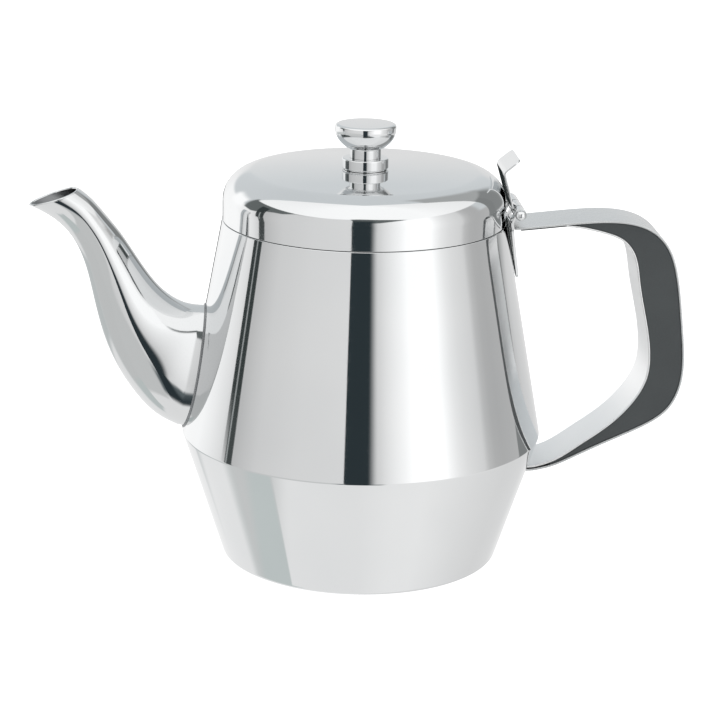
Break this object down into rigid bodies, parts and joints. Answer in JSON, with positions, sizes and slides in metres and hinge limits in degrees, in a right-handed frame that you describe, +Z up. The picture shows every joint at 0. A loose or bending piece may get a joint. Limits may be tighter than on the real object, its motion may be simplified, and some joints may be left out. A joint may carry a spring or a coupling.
{
  "type": "teapot",
  "caption": "Stainless-steel gooseneck teapot with a hinged capped lid, turned knob and flat band handle with a dark insulating filler.",
  "frame": {"origin": "centre of the flat underside, on the body's vertical axis", "axes": "+Z up along the body's axis, spout towards -X, hinge and handle towards +X, hinge pin along Y"},
  "size_m": [0.2709, 0.15, 0.1831],
  "materials": {
    "polished_steel": "polished",
    "lid_steel": "polished",
    "knob_steel": "polished",
    "hinge_steel": "polished",
    "satin_steel": "satin",
    "dark_insert": "matte"
  },
  "bodies": {
    "pot": {"lower_body": "polished_steel", "upper_body": "polished_steel", "spout_left_half": "polished_steel", "spout_right_half": "polished_steel", "body_hinge_leaf": "hinge_steel", "hinge_pin": "hinge_steel", "handle_outer_band": "satin_steel", "handle_inner_band": "satin_steel", "handle_insert": "dark_insert"},
    "lid": {"lid_shell": "lid_steel", "lid_hinge_leaf": "hinge_steel", "knob": "knob_steel", "knob_collar": "knob_steel", "knob_screw": "satin_steel", "knob_washer": "satin_steel"}
  },
  "joints": [
    {"name": "lid_hinge", "type": "hinge", "parent": "pot", "child": "lid", "pos_m": [0.0626, 0, 0.1483], "axis": [0, 1, 0], "range_deg": [0, 90]}
  ]
}
